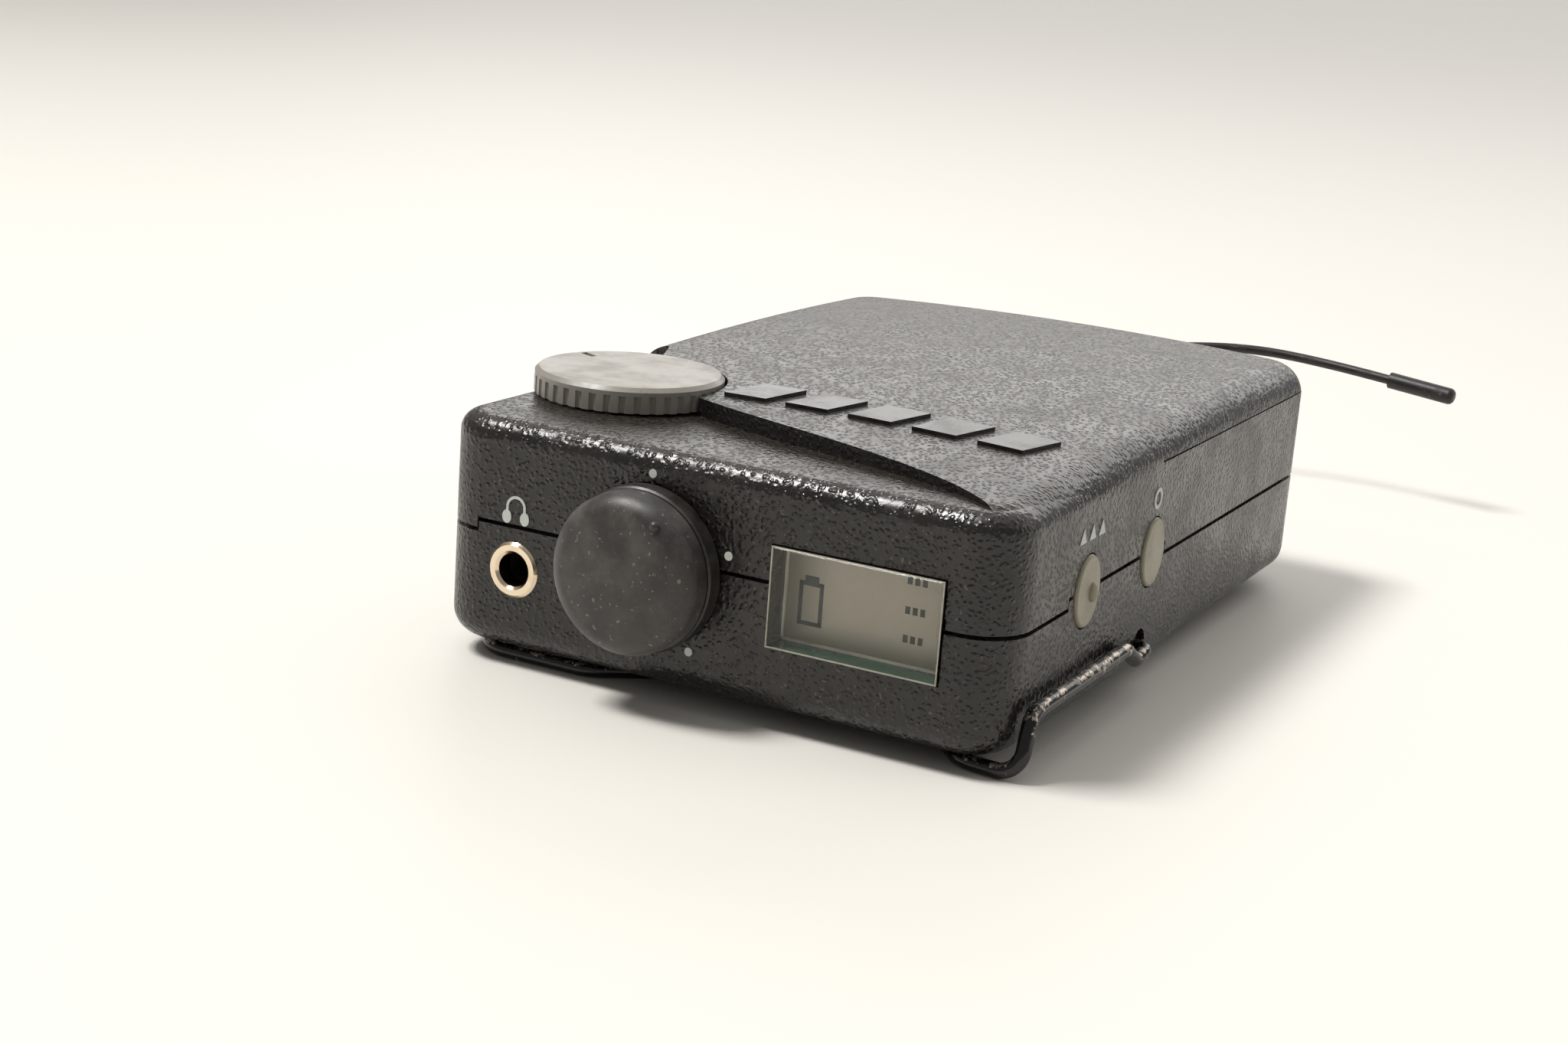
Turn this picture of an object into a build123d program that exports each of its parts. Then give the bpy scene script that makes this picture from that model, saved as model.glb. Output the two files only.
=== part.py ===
# A wireless bodypack receiver for in-ear monitors, in millimetres.
# The origin is the middle of the footprint of the rigid pieces, on the surface that the pack lies on.
# +X runs to the side with the two buttons, +Y away from the control end, +Z up out of the battery door.
from math import pi, radians, sqrt, tan
import os

from build123d import *

os.makedirs("parts", exist_ok=True)

# Case
case_width = 65.5
case_length = 97.0
corner_radius = 5.5
wall = 2.0
floor_thickness = 2.0
seam_height = 12.3  # of the bottom shell, above its underside
seam_gap = 0.45
tab_rise = 1.1  # the bottom shell's raised edge around the controls
low_height = 24.5  # of the lower deck under the mix dial
crown_height = 28.0  # of the raised deck at its highest point
crown_depth = 68.0  # of that point behind the front face
crown_radius = 520.0  # across the deck
crown_long_radius = 900.0  # along the deck
door_drop = 0.3  # the battery door lies this much below the raised deck
shoulder_radius = 4.0
deck_edge_radius = 2.2
bottom_edge_radius = 3.0
lip_thickness = 0.9
lip_clearance = 0.12
fit_gap = 0.15  # between a fixed piece and its opening

# Belt clip
clip_wire = 1.6
clip_gap = 0.25
clip_bore_clearance = 0.05
clip_side_gap = 0.4
clip_pivot_depth = 38.5  # behind the front face
clip_pivot_height = 3.2
clip_leg_height = 4.8
clip_bar_depth = 3.0
clip_sweep_back = 8.0  # how far behind the bar the left leg's foot stands
clip_tongue = 9.0  # how far the bar bends back under the case
clip_pin_length = 5.2

# Controls on the front face, from the case's centre line
jack_x = -22.8
jack_below_seam = 3.3
jack_bore = 3.6
jack_bush_diameter = 6.0
jack_proud = 0.35
knob_x = -6.75
knob_above_seam = 0.3
knob_radius = 8.4
knob_projection = 7.0
window_x = 16.6
window_width = 18.9
window_height = 10.7
window_proud = 0.5

# Mix dial on the lower deck
dial_x = -22.4
dial_depth = 20.6
dial_radius = 10.4
dial_thickness = 2.75
dial_lift = 0.25
dial_gap = 0.35

# Buttons on the right side
button_depths = (20.0, 39.6)
button_above_seam = 1.13
button_half_width = 3.25
button_half_height = 3.85
button_proud = 0.3

# Shafts
shaft_radius = 2.0
shaft_clearance = 0.05
pot_bush_radius = 3.2  # of the volume pot's threaded neck
mix_bush_radius = 3.05

# Battery, a 9 V block laid across the pack
battery_long = 46.4
battery_wide = 26.5
battery_thick = 17.5
terminal_rise = 2.1
battery_depth = 62.0  # of its middle, behind the front face
battery_gap = 0.3

# Battery door
door_depth = 40.2
door_gap = 0.25
door_side_height = 23.2  # of the door's lower edge above the underside
door_skin = 1.8
hinge_inset = 1.5  # of the pin's axis from the rear face
hinge_pin_radius = 0.7
hinge_half_width = 20.0
hinge_lug_width = 4.0
hinge_lug_radius = 1.4
deck_pocket = 1.8  # how far the inside of the raised deck is hollowed above the ceiling

# Circuit boards and fasteners
board_thickness = 1.2
board_height = 4.4
board_inset = 8.25  # of the main board's long edges from the case's sides
screw_radius = 0.8
boss_radius = 2.2

# Antenna
gland_x = -19.0
gland_projection = 7.0
gland_neck_radius = 2.5
antenna_diameter = 1.4
antenna_tip_diameter = 2.4
antenna_tip_length = 10.0
antenna_points = (
    (-19.0, 68.8, 14.15),
    (-15.2, 83.0, 15.9),
    (-5.5, 96.6, 18.2),
    (7.0, 103.2, 19.2),
    (19.4, 104.4, 18.6),
    (30.0, 103.0, 17.7),
)

# Heights and places worked out from the sizes above
base = clip_wire + clip_gap
front = (knob_projection - case_length - gland_projection) / 2
middle = front + case_length / 2
rear = front + case_length
side = case_width / 2
seam = base + seam_height
deck = base + low_height
crown = base + crown_height
ceiling = deck - wall
board_top = base + board_height + board_thickness
board_width = case_width - 2 * board_inset
knob_z = seam + knob_above_seam
jack_z = seam - jack_below_seam
button_z = seam + button_above_seam
door_front = front + door_depth
door_bottom = base + door_side_height
hinge_y = rear - hinge_inset
hinge_z = door_bottom + hinge_inset
hinge_sweep = hinge_inset * sqrt(2) + 0.15  # of the skirt's lower corner about the pin
lip_rise = tab_rise + seam_gap + 0.7
tab_left = jack_x - 4.6
tab_right = window_x + window_width / 2
side_tab_front = front + button_depths[0] - 4.7
side_tab_rear = front + button_depths[1] + 4.1


def level(height, x=0.0, y=middle):
    """A plane facing up."""
    return Plane(origin=(x, y, height), x_dir=(1, 0, 0), z_dir=(0, 0, 1))


def facing_front(x, z, depth=0.0):
    """A plane facing out of the front face, at a depth behind it."""
    return Plane(origin=(x, front + depth, z), x_dir=(1, 0, 0), z_dir=(0, -1, 0))


def facing_side(y, z, depth=0.0):
    """A plane facing out of the right side, at a depth behind it."""
    return Plane(origin=(side - depth, y, z), x_dir=(0, 1, 0), z_dir=(1, 0, 0))


def round_box(width, length, radius, bottom, top):
    """A block with rounded upright corners, on the case's middle."""
    with BuildPart() as block:
        with BuildSketch(level(bottom)):
            RectangleRounded(width, length, radius)
        extrude(amount=top - bottom)
    return block.part


def case_block(inset, bottom, top):
    """The case's outline moved in by an inset."""
    return round_box(case_width - 2 * inset, case_length - 2 * inset, corner_radius - inset, bottom, top)


def crown_barrel(rise=0.0):
    """A wedge of a slim barrel along Y whose top is the raised deck, moved out by a rise."""
    section = Plane(origin=(0, front + crown_depth, crown), x_dir=(0, 1, 0), z_dir=(1, 0, 0))
    barrel_axis = Axis((0, 0, crown - crown_radius), (0, 1, 0))
    half = case_length
    end_drop = crown_long_radius - sqrt(crown_long_radius**2 - half**2)
    with BuildPart() as barrel:
        with BuildSketch(section):
            with BuildLine():
                ThreePointArc((-half, rise - end_drop), (0, rise), (half, rise - end_drop))
                Polyline((half, rise - end_drop), (half, -60), (-half, -60), (-half, rise - end_drop))
            make_face()
        revolve(axis=barrel_axis, revolution_arc=10)
    return barrel.part.rotate(barrel_axis, -5)


def block(x, y, z, width, length, height):
    """A plain block from its lowest corner."""
    with BuildPart() as piece:
        with BuildSketch(level(z, x, y)):
            Rectangle(width, length, align=(Align.MIN, Align.MIN))
        extrude(amount=height)
    return piece.part


# The two outer shapes: a low body for the deck under the dial, and a high body for the rest
with BuildPart() as low_body:
    add(case_block(0, base, deck))
    fillet(low_body.faces().sort_by(Axis.Z)[-1].edges(), deck_edge_radius)
    fillet(low_body.faces().sort_by(Axis.Z)[0].edges(), bottom_edge_radius)

with BuildPart() as high_body:
    add(case_block(0, base + bottom_edge_radius, crown + 1))
    add(crown_barrel(), mode=Mode.INTERSECT)
    fillet(high_body.faces().sort_by(Axis.Z)[-1].edges(), shoulder_radius)

# Everything behind the sweeping step that leaves the dial and runs out at the front corner
step_start = (dial_x + dial_radius - 1.0, front + dial_depth - 2.4)
step_end = (side - 0.8, front - 1.5)
with BuildPart() as raised_zone:
    with BuildSketch(level(base, 0, 0)):
        with BuildLine():
            Polyline(
                step_start,
                (dial_x, front + dial_depth),
                (dial_x - 2.5, front + dial_depth + dial_radius),
                (-side + 4.0, door_front),
                (-side - 5, door_front),
                (-side - 5, rear + 5),
                (side + 5, rear + 5),
                (side + 5, front - 1.5),
                step_end,
            )
            Spline(step_end, (26.0, front + 4.6), (18.4, front + 8.1), (6.0, front + 11.8), step_start)
        make_face()
    extrude(amount=crown_height + 2)
    with Locations((dial_x, front + dial_depth, deck + 5)):
        Cylinder(dial_radius + dial_gap, 10, mode=Mode.SUBTRACT)

# The holes that cross the seam, cut from both shells
with BuildPart() as openings:
    with BuildSketch(facing_front(window_x, seam, -2)):
        Rectangle(window_width, window_height)
    extrude(amount=-(wall + 2))
    with BuildSketch(facing_front(knob_x, knob_z, -2)):
        Circle(pot_bush_radius + fit_gap)
    extrude(amount=-(wall + 2))
    with BuildSketch(facing_front(jack_x, jack_z, -2)):
        Circle(jack_bush_diameter / 2)
    extrude(amount=-(wall + 2))
    for button_depth in button_depths:
        with BuildSketch(facing_side(front + button_depth, button_z, -2)):
            Ellipse(button_half_width + fit_gap, button_half_height + fit_gap)
        extrude(amount=-(wall + 2))
    with BuildSketch(facing_front(gland_x, seam, case_length - wall)):
        Circle(gland_neck_radius)
    extrude(amount=-(wall + 2))

# The case screws stand in the corners, clear of the controls and the battery
screw_places = (
    (-28.3, front + 10.0),
    (28.3, front + 10.0),
    (-27.5, rear - 9.0),
    (27.5, rear - 9.0),
)

# Bottom shell
with BuildPart() as bottom_shell:
    add(low_body.part)
    add(case_block(-5, seam, deck + 5), mode=Mode.SUBTRACT)
    with BuildSketch(level(seam, tab_left, front)):
        Rectangle(tab_right - tab_left, wall, align=(Align.MIN, Align.MIN))
    extrude(amount=tab_rise)
    with BuildSketch(level(seam, side - wall, side_tab_front)):
        Rectangle(wall, side_tab_rear - side_tab_front, align=(Align.MIN, Align.MIN))
    extrude(amount=tab_rise)
    add(case_block(wall - lip_thickness, seam - 1, seam + lip_rise))
    add(case_block(wall, base + floor_thickness, deck), mode=Mode.SUBTRACT)
    with BuildSketch(level(base)):
        with Locations(*[(x, y - middle) for x, y in screw_places]):
            Circle(boss_radius)
    extrude(amount=seam_height - 0.1)
    with BuildSketch(level(base + 1)):
        with GridLocations(38, 74, 2, 2):
            Circle(1.8)
    extrude(amount=board_height - 1)
    for sign in (-1, 1):
        with Locations(
            Location(
                (sign * (side - wall - 1.9), front + clip_pivot_depth, base + clip_pivot_height), (0, 90, 0)
            )
        ):
            Cylinder(clip_wire / 2 + 1.4, 4.2)
    with BuildSketch(level(base)):
        with Locations(*[(x, y - middle) for x, y in screw_places]):
            Circle(screw_radius + fit_gap)
    extrude(amount=seam_height, mode=Mode.SUBTRACT)
    with BuildSketch(level(base)):
        with Locations(*[(x, y - middle) for x, y in screw_places]):
            Circle(1.9)
    extrude(amount=1.6, mode=Mode.SUBTRACT)
    for sign in (-1, 1):
        pivot = (sign * side, front + clip_pivot_depth, base + clip_pivot_height)
        with Locations(Location(pivot, (0, 90, 0))):
            Cylinder(clip_wire / 2 + clip_bore_clearance, 2 * clip_pin_length + 0.6, mode=Mode.SUBTRACT)
            Cylinder(clip_wire / 2 + 1.0, 1.6, mode=Mode.SUBTRACT)
    add(openings.part, mode=Mode.SUBTRACT)
bottom_shell.part.label = "bottom_shell"
export_step(bottom_shell.part, "parts/bottom_shell.step")

# Two lugs carry the hinge pin on the rear wall
with BuildPart() as hinge_lugs:
    for sign in (-1, 1):
        lug_x = sign * (hinge_half_width + door_gap + hinge_lug_width / 2) - hinge_lug_width / 2
        with BuildSketch(Plane(origin=(lug_x, hinge_y, hinge_z), x_dir=(0, 1, 0), z_dir=(1, 0, 0))):
            Circle(hinge_lug_radius)
            with Locations((0, -2.6)):
                Rectangle(2 * hinge_lug_radius, 5.2)
        extrude(amount=hinge_lug_width)

# Top shell, open over the battery
with BuildPart() as top_shell:
    add(high_body.part)
    add(raised_zone.part, mode=Mode.INTERSECT)
    add(low_body.part)
    add(case_block(-5, base - 1, seam + seam_gap), mode=Mode.SUBTRACT)
    with BuildSketch(level(seam, tab_left - fit_gap, front)):
        Rectangle(tab_right - tab_left + 2 * fit_gap, wall, align=(Align.MIN, Align.MIN))
    extrude(amount=tab_rise + seam_gap, mode=Mode.SUBTRACT)
    with BuildSketch(level(seam, side - wall, side_tab_front - fit_gap)):
        Rectangle(wall, side_tab_rear - side_tab_front + 2 * fit_gap, align=(Align.MIN, Align.MIN))
    extrude(amount=tab_rise + seam_gap, mode=Mode.SUBTRACT)
    add(case_block(wall - lip_thickness - lip_clearance, seam, seam + lip_rise + 0.15), mode=Mode.SUBTRACT)
    add(case_block(wall, seam, ceiling), mode=Mode.SUBTRACT)
    add(block(-8, front + 23, ceiling - 1, 36, door_depth - 26, deck_pocket + 1), mode=Mode.SUBTRACT)
    # The rear half is cut away down to the door's lower edge
    add(block(-side - 1, door_front, door_bottom, case_width + 2, case_length, 20), mode=Mode.SUBTRACT)
    add(block(-27.5, door_front + 4, ceiling - 1, 55, rear - wall - door_front - 4, 5), mode=Mode.SUBTRACT)
    # The rear wall stands lower under the knuckle, so that the door's skirt can swing down
    add(
        block(-side - 1, hinge_y - hinge_sweep, hinge_z - hinge_sweep, case_width + 2, 10, 10),
        mode=Mode.SUBTRACT,
    )
    add(hinge_lugs.part)
    with Locations(Location((0, hinge_y, hinge_z), (0, 90, 0))):
        Cylinder(hinge_pin_radius, 2 * (hinge_half_width + hinge_lug_width), mode=Mode.SUBTRACT)
    with BuildSketch(level(seam + 0.1)):
        with Locations(*[(x, y - middle) for x, y in screw_places]):
            Circle(boss_radius)
    extrude(amount=ceiling - seam)
    with BuildSketch(level(ceiling - 6)):
        with Locations(*[(dial_x + 7.0, front + dial_depth - middle + along) for along in (-4.5, 4.5)]):
            Circle(1.3)
    extrude(amount=7)
    with BuildSketch(level(seam)):
        with Locations(*[(x, y - middle) for x, y in screw_places]):
            Circle(screw_radius)
    extrude(amount=7, mode=Mode.SUBTRACT)
    with Locations((dial_x, front + dial_depth, deck - wall / 2)):
        Cylinder(mix_bush_radius + fit_gap, wall + 1, mode=Mode.SUBTRACT)
    add(openings.part, mode=Mode.SUBTRACT)
top_shell.part.label = "top_shell"
export_step(top_shell.part, "parts/top_shell.step")

# Battery door: the rear half of the deck with its shoulders and rear skirt
with BuildPart() as battery_door:
    add(high_body.part.moved(Location((0, 0, -door_drop))))
    add(
        block(-side - 1, door_front + door_gap, door_bottom + 0.15, case_width + 2, case_length, 20),
        mode=Mode.INTERSECT,
    )
    add(case_block(door_skin, base, crown - shoulder_radius), mode=Mode.SUBTRACT)
    add(block(-27, door_front + door_gap + 1.2, crown - shoulder_radius, 54, 50.5, 1.2), mode=Mode.SUBTRACT)
    # Lugs of the shell stand in two notches in the skirt
    for sign in (-1, 1):
        lug_x = sign * (hinge_half_width + door_gap + hinge_lug_width / 2)
        with Locations((lug_x, hinge_y + 0.4, hinge_z)):
            Box(
                hinge_lug_width + 2 * door_gap, 2 * hinge_inset + 1.4, 2 * hinge_inset + 0.6, mode=Mode.SUBTRACT
            )
    with Locations(Location((0, hinge_y, hinge_z), (0, 90, 0))):
        Cylinder(hinge_inset, 2 * hinge_half_width)
        Cylinder(hinge_pin_radius + shaft_clearance, 2 * hinge_half_width, mode=Mode.SUBTRACT)
battery_door.part.label = "battery_door"
export_step(battery_door.part, "parts/battery_door.step")

with BuildPart() as hinge_pin:
    with Locations(Location((0, hinge_y, hinge_z), (0, 90, 0))):
        Cylinder(hinge_pin_radius, 2 * (hinge_half_width + hinge_lug_width))
hinge_pin.part.label = "hinge_pin"
export_step(hinge_pin.part, "parts/hinge_pin.step")

# Case screws, driven up from the underside
with BuildPart() as case_screws:
    with BuildSketch(level(base + 0.1)):
        with Locations(*[(x, y - middle) for x, y in screw_places]):
            Circle(1.75)
    extrude(amount=1.5)
    with BuildSketch(level(base + 1.5)):
        with Locations(*[(x, y - middle) for x, y in screw_places]):
            Circle(screw_radius)
    extrude(amount=seam_height + 3)
    with BuildSketch(level(base + 0.1)):
        with Locations(*[(x, y - middle) for x, y in screw_places]):
            Rectangle(2.4, 0.5)
            Rectangle(0.5, 2.4)
    extrude(amount=0.7, mode=Mode.SUBTRACT)
case_screws.part.label = "case_screws"
export_step(case_screws.part, "parts/case_screws.step")

# Belt clip: one bent wire, its turned-in ends in the bottom shell's sides
leg_x = side + clip_side_gap + clip_wire / 2
pivot_y = front + clip_pivot_depth
bar_y = front + clip_bar_depth
tongue_y = bar_y + clip_tongue
bar_z = clip_wire / 2
clip_side_route = (
    (side - clip_pin_length + 0.3, pivot_y, base + clip_pivot_height),
    (leg_x, pivot_y, base + clip_pivot_height),
    (leg_x, pivot_y - 4.0, base + clip_pivot_height - 0.6),
    (leg_x, pivot_y - 7.5, base + clip_leg_height),
    (leg_x, bar_y + 1.8, base + clip_leg_height),
    (leg_x, bar_y, bar_z),
)
clip_tongue_route = (
    (27.5, bar_y + 0.6, bar_z),
    (20.0, tongue_y, bar_z),
    (-3.0, tongue_y, bar_z),
    (-15.0, bar_y, bar_z),
    (-27.0, bar_y, bar_z),
)
clip_other_side = [(-x, y, z) for x, y, z in reversed(clip_side_route)]
clip_other_side[0] = (-leg_x, bar_y + clip_sweep_back, bar_z)
clip_other_side[1] = (-leg_x, bar_y + clip_sweep_back + 1.8, base + clip_leg_height)
clip_side_bends = (1.8, 1.8, 1.8, 2.0, 2.4)
clip_route = [*clip_side_route, *clip_tongue_route, *clip_other_side]
clip_bends = (*clip_side_bends, 4.0, 4.0, 4.0, 4.0, 4.0, *reversed(clip_side_bends))
with BuildPart() as belt_clip:
    with BuildLine():
        FilletPolyline(*clip_route, radius=clip_bends)
    with BuildSketch(Plane(origin=clip_route[0], z_dir=(1, 0, 0))):
        Circle(clip_wire / 2)
    sweep()
belt_clip.part.label = "belt_clip"
export_step(belt_clip.part, "parts/belt_clip.step")

# Phone jack: a plated bush in the front wall and a moulded body on the main board
jack_body_length = 12.0
with BuildPart() as jack_bush:
    with BuildSketch(facing_front(jack_x, jack_z, -jack_proud)):
        Circle(jack_bush_diameter / 2)
        Circle(jack_bore / 2, mode=Mode.SUBTRACT)
    extrude(amount=-(wall + jack_proud))
    chamfer(jack_bush.faces().sort_by(Axis.Y)[0].edges(), 0.3)
jack_bush.part.label = "jack_bush"
export_step(jack_bush.part, "parts/jack_bush.step")

with BuildPart() as jack_body:
    add(block(jack_x - 3, front + wall, board_top, 6, jack_body_length, 2 * (jack_z - board_top)))
    with BuildSketch(facing_front(jack_x, jack_z, wall)):
        Circle(jack_bore / 2)
    extrude(amount=-(jack_body_length - 0.8), mode=Mode.SUBTRACT)
jack_body.part.label = "jack_body"
export_step(jack_body.part, "parts/jack_body.step")

with BuildPart() as jack_contacts:
    for step in range(3):
        add(block(jack_x + 3, front + wall + 2.5 + 3.2 * step, board_top, 0.3, 1.2, 2.2))
        add(block(jack_x - 3.3, front + wall + 2.5 + 3.2 * step, board_top, 0.3, 1.2, 2.2))
jack_contacts.part.label = "jack_contacts"
export_step(jack_contacts.part, "parts/jack_contacts.step")

# Volume control: pot, nut, shaft, skirt, cap and pointer
pot_depth = 6.5
with BuildPart() as volume_pot:
    with BuildSketch(facing_front(knob_x, knob_z, wall)):
        Circle(5.2)
    extrude(amount=-pot_depth)
    with BuildSketch(facing_front(knob_x, knob_z, -1.5)):
        Circle(pot_bush_radius)
    extrude(amount=-(wall + 2.5))
    with BuildSketch(facing_front(knob_x, knob_z, -1.6)):
        Circle(shaft_radius + shaft_clearance)
    extrude(amount=-(wall + 4.5), mode=Mode.SUBTRACT)
volume_pot.part.label = "volume_pot"
export_step(volume_pot.part, "parts/volume_pot.step")

with BuildPart() as pot_nut:
    with BuildSketch(facing_front(knob_x, knob_z)):
        RegularPolygon(4.9, 6)
        Circle(3.2, mode=Mode.SUBTRACT)
    extrude(amount=1.2)
pot_nut.part.label = "pot_nut"
export_step(pot_nut.part, "parts/pot_nut.step")

skirt_start = 0.4
skirt_end = 2.4
cap_start = 2.65
with BuildPart() as volume_shaft:
    with BuildSketch(facing_front(knob_x, knob_z, wall + 2.2)):
        Circle(shaft_radius)
    extrude(amount=wall + 2.2 + knob_projection - 1.6)
    with Locations((knob_x, front - 3.9, knob_z + shaft_radius)):
        Box(2 * shaft_radius, 3.0, 1.0, mode=Mode.SUBTRACT)
volume_shaft.part.label = "volume_shaft"
export_step(volume_shaft.part, "parts/volume_shaft.step")

knob_section = Plane(origin=(knob_x, front, knob_z), x_dir=(1, 0, 0), z_dir=(0, 0, -1))
knob_axis = Axis((knob_x, front, knob_z), (0, -1, 0))
hub_radius = 4.0
hub_end = 5.6
with BuildPart() as knob_skirt:
    with BuildSketch(knob_section):
        with BuildLine():
            Polyline(
                (5.8, skirt_start),
                (knob_radius + 0.2, skirt_start),
                (knob_radius + 0.2, skirt_end - 0.2),
                (knob_radius, skirt_end),
                (knob_radius - 0.5, skirt_end),
                (knob_radius - 0.5, cap_start),
                (hub_radius, cap_start),
                (hub_radius, hub_end),
                (shaft_radius, hub_end),
                (shaft_radius, skirt_end - 0.6),
                (5.8, skirt_end - 0.6),
                close=True,
            )
        make_face()
    revolve(axis=knob_axis)
knob_skirt.part.label = "knob_skirt"
export_step(knob_skirt.part, "parts/knob_skirt.step")

dome_half = knob_radius - 2.3
dome_rise = knob_projection - 6.2
dome_radius = (dome_half**2 + dome_rise**2) / (2 * dome_rise)
dome_middle = knob_projection - dome_radius + sqrt(dome_radius**2 - (dome_half / 2) ** 2)
with BuildPart() as volume_knob:
    with BuildSketch(knob_section):
        with BuildLine():
            Polyline((0, hub_end), (hub_radius, hub_end), (hub_radius, cap_start), (knob_radius, cap_start))
            Line((knob_radius, cap_start), (knob_radius - 0.1, 4.4))
            ThreePointArc((knob_radius - 0.1, 4.4), (knob_radius - 0.9, 5.6), (dome_half, 6.2))
            ThreePointArc((dome_half, 6.2), (dome_half / 2, dome_middle), (0, knob_projection))
            Line((0, knob_projection), (0, hub_end))
        make_face()
    revolve(axis=knob_axis)
volume_knob.part.label = "volume_knob"
export_step(volume_knob.part, "parts/volume_knob.step")

# Display: lens, panel, light and board, one behind the other
lens_flange = 1.0
with BuildPart() as display_lens:
    with BuildSketch(facing_front(window_x, seam, -window_proud)):
        RectangleRounded(window_width - 2 * fit_gap, window_height - 2 * fit_gap, 0.4)
    extrude(amount=-(wall + window_proud))
    chamfer(display_lens.faces().sort_by(Axis.Y)[0].edges(), 0.2)
    with BuildSketch(facing_front(window_x, seam, wall)):
        Rectangle(window_width + 2, window_height + 1.8)
    extrude(amount=-lens_flange)
display_lens.part.label = "display_lens"
export_step(display_lens.part, "parts/display_lens.step")

panel_thickness = 1.2
light_thickness = 1.8
panel_depth = wall + lens_flange
with BuildPart() as display_panel:
    with BuildSketch(facing_front(window_x, seam, panel_depth)):
        Rectangle(window_width + 1.6, window_height + 1.4)
    extrude(amount=-panel_thickness)
display_panel.part.label = "display_panel"
export_step(display_panel.part, "parts/display_panel.step")

with BuildPart() as display_light:
    with BuildSketch(facing_front(window_x, seam, panel_depth + panel_thickness)):
        Rectangle(window_width + 1.6, window_height + 1.4)
    extrude(amount=-light_thickness)
display_light.part.label = "display_light"
export_step(display_light.part, "parts/display_light.step")

display_board_depth = panel_depth + panel_thickness + light_thickness
with BuildPart() as display_board:
    with BuildSketch(facing_front(window_x, seam, display_board_depth)):
        Rectangle(window_width + 1.2, window_height + 2.2)
    extrude(amount=-1.0)
display_board.part.label = "display_board"
export_step(display_board.part, "parts/display_board.step")

# A flat cable bends from the display board down to the main board
cable_start = front + display_board_depth + 1.0
with BuildPart() as display_cable:
    with BuildSketch(Plane(origin=(window_x, cable_start, 0), x_dir=(0, 1, 0), z_dir=(1, 0, 0))):
        with BuildLine() as cable_line:
            FilletPolyline(
                (0.1, seam + 3.0),
                (3.6, seam + 3.0),
                (3.6, board_top + 0.1),
                (8.0, board_top + 0.1),
                radius=1.5,
            )
            offset(cable_line.line, amount=0.1, side=Side.BOTH)
        make_face()
    extrude(amount=4.5, both=True)
display_cable.part.label = "display_cable"
export_step(display_cable.part, "parts/display_cable.step")

# Mix dial on the lower deck, with its shaft and pot underneath
dial_bottom = deck + dial_lift
dial_top = dial_bottom + dial_thickness
rib_count = 40
with BuildPart() as mix_dial:
    with BuildSketch(level(dial_bottom, dial_x, front + dial_depth)):
        Circle(dial_radius)
        with PolarLocations(dial_radius + 0.15, rib_count):
            Circle(0.42, mode=Mode.SUBTRACT)
    extrude(amount=dial_thickness - 0.9)
    with BuildSketch(level(dial_top - 0.9, dial_x, front + dial_depth)):
        Circle(dial_radius)
    extrude(amount=0.9)
    chamfer(mix_dial.faces().sort_by(Axis.Z)[-1].edges(), 0.45)
    with Locations((dial_x - 7.6, front + dial_depth + 3.5, dial_top)):
        Box(2.2, 0.8, 0.8, rotation=(0, 0, -25), mode=Mode.SUBTRACT)
    with Locations((dial_x, front + dial_depth, dial_bottom)):
        Cylinder(shaft_radius, 3.0, mode=Mode.SUBTRACT)
mix_dial.part.label = "mix_dial"
export_step(mix_dial.part, "parts/mix_dial.step")

mix_board_z = ceiling - 7.2
with BuildPart() as mix_shaft:
    with BuildSketch(level(mix_board_z + 3.2, dial_x, front + dial_depth)):
        Circle(shaft_radius)
    extrude(amount=dial_bottom + 1.5 - mix_board_z - 3.2)
mix_shaft.part.label = "mix_shaft"
export_step(mix_shaft.part, "parts/mix_shaft.step")

with BuildPart() as mix_pot:
    with BuildSketch(level(mix_board_z + board_thickness, dial_x, front + dial_depth)):
        Circle(4.8)
    extrude(amount=6.0 - fit_gap)
    with BuildSketch(level(ceiling - 0.5, dial_x, front + dial_depth)):
        Circle(mix_bush_radius)
    extrude(amount=wall + 0.4)
    with BuildSketch(level(mix_board_z + 3.0, dial_x, front + dial_depth)):
        Circle(shaft_radius + shaft_clearance)
    extrude(amount=10, mode=Mode.SUBTRACT)
mix_pot.part.label = "mix_pot"
export_step(mix_pot.part, "parts/mix_pot.step")

with BuildPart() as mix_board:
    add(block(dial_x - 6.8, front + dial_depth - 6.5, mix_board_z, 15.5, 13, board_thickness))
mix_board.part.label = "mix_board"
export_step(mix_board.part, "parts/mix_board.step")

# Scroll and select buttons with their switches on an upright side board
flange_depth = wall + 0.05
flange_thickness = 0.8
switch_face = side - 4.05
switch_height = 3.6
button_names = ("scroll", "select")
for button_name, button_depth in zip(button_names, button_depths):
    button_y = front + button_depth
    with BuildPart() as button:
        with BuildSketch(facing_side(button_y, button_z, flange_depth)):
            Ellipse(button_half_width + 0.7, button_half_height + 0.7)
        extrude(amount=-flange_thickness)
        with BuildSketch(facing_side(button_y, button_z, flange_depth)):
            Ellipse(button_half_width, button_half_height)
        extrude(amount=flange_depth + button_proud)
        fillet(button.faces().sort_by(Axis.X)[-1].edges(), 0.35)
        if button_name == "scroll":
            with Locations((side + button_proud, button_y + 1.6, button_z - 0.5)):
                Sphere(0.55)
    button.part.label = f"{button_name}_button"
    export_step(button.part, f"parts/{button_name}_button.step")

    with BuildPart() as plunger:
        with BuildSketch(facing_side(button_y, button_z, flange_depth + flange_thickness)):
            Circle(1.0)
        extrude(amount=-(side - flange_depth - flange_thickness - switch_face + 0.6))
    plunger.part.label = f"{button_name}_plunger"
    export_step(plunger.part, f"parts/{button_name}_plunger.step")

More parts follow.
